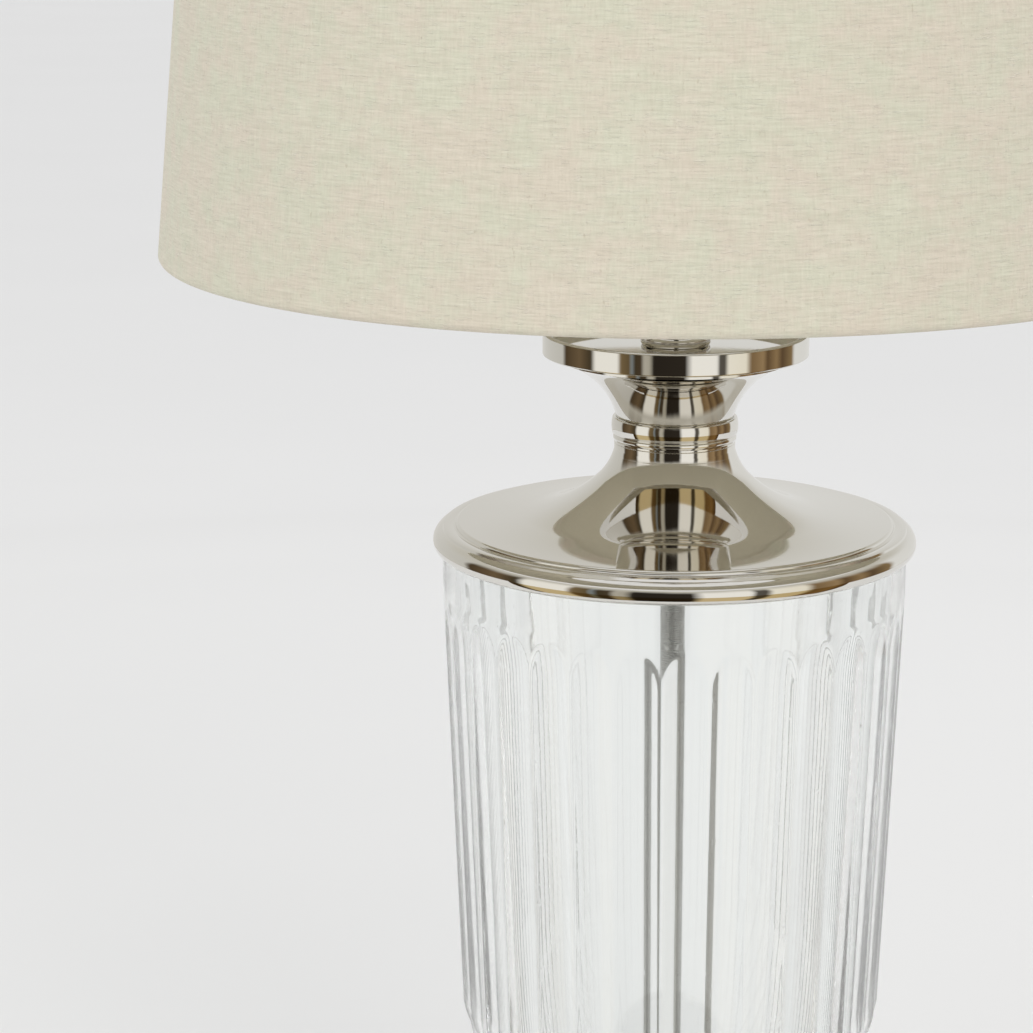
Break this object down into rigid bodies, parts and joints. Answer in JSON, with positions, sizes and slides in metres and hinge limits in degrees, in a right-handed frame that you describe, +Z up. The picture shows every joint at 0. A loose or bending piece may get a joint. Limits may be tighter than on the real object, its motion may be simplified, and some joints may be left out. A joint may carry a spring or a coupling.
{
  "type": "table lamp",
  "caption": "Table lamp with a fluted clear glass body between spun nickel fittings, a small drip tray, a harp and a tapered linen shade.",
  "frame": {"origin": "centre of the felt pad's underside, on the lamp's axis", "axes": "+Z up the lamp's axis, +X along the harp's plane to the viewer's right, -Y toward the viewer and the switch knob"},
  "size_m": [0.3994, 0.3994, 0.7307],
  "materials": {
    "nickel": "polished nickel plate",
    "clear_glass": "clear pressed glass, fire polished",
    "opal_glass": "white coated bulb glass",
    "linen": "natural linen, slubbed weave",
    "shade_lining": "white styrene lining",
    "felt": "dark wool felt",
    "casting": "rough casting",
    "steel": "zinc plated steel",
    "gasket": "translucent soft seal",
    "black_plastic": "moulded black plastic",
    "fibre": "pressed fibre sleeve",
    "contact_brass": "bare brass"
  },
  "bodies": {
    "lamp": {"felt_pad": "felt", "base_weight": "casting", "foot_shell": "nickel", "cord_bushing": "black_plastic", "base_washer": "steel", "base_nut": "steel", "foot_collar": "nickel", "glass_cup": "nickel", "lower_gasket": "gasket", "glass_body": "clear_glass", "upper_gasket": "gasket", "glass_cap": "nickel", "neck_collar": "nickel", "neck_flare": "nickel", "drip_tray": "nickel", "ferrule": "nickel", "threaded_rod": "steel", "harp_saddle": "nickel", "lock_nut": "nickel", "harp": "nickel", "harp_stud": "nickel", "holder_cap": "nickel", "holder_shell": "nickel", "holder_insulator": "fibre", "holder_insert": "black_plastic", "terminal_screws": "contact_brass", "screw_shell": "contact_brass", "centre_contact": "contact_brass"},
    "switch": {"switch_shaft": "steel", "switch_knob": "black_plastic"},
    "bulb": {"bulb_contact": "contact_brass", "bulb_insulator": "black_plastic", "bulb_screw_cap": "steel", "bulb_globe": "opal_glass"},
    "sleeve_left": {"harp_sleeve_left": "nickel"},
    "sleeve_right": {"harp_sleeve_right": "nickel"},
    "washer": {"shade_washer": "steel"},
    "shade": {"shade_fabric": "linen", "shade_liner": "shade_lining", "bottom_ring": "steel", "top_ring": "steel", "spider": "nickel"},
    "finial": {"finial": "nickel"}
  },
  "joints": [
    {"name": "switch_turn", "type": "hinge", "parent": "lamp", "child": "switch", "pos_m": [0, -0.02, 0.4735], "axis": [0, 1, 0], "continuous": true},
    {"name": "bulb_turn", "type": "hinge", "parent": "lamp", "child": "bulb", "pos_m": [0, 0, 0.5], "axis": [0, 0, 1], "continuous": true},
    {"name": "sleeve_left_slide", "type": "slide", "parent": "lamp", "child": "sleeve_left", "axis": [0, 0, 1], "range_m": [0, 0.012]},
    {"name": "sleeve_right_slide", "type": "slide", "parent": "lamp", "child": "sleeve_right", "axis": [0, 0, 1], "range_m": [0, 0.012]},
    {"name": "shade_lift", "type": "slide", "parent": "lamp", "child": "washer", "axis": [0, 0, 1], "range_m": [0, 0.26]},
    {"name": "shade_turn", "type": "hinge", "parent": "washer", "child": "shade", "pos_m": [0, 0, 0.7], "axis": [0, 0, 1], "continuous": true},
    {"name": "finial_turn", "type": "hinge", "parent": "shade", "child": "finial", "pos_m": [0, 0, 0.71], "axis": [0, 0, 1], "continuous": true}
  ]
}
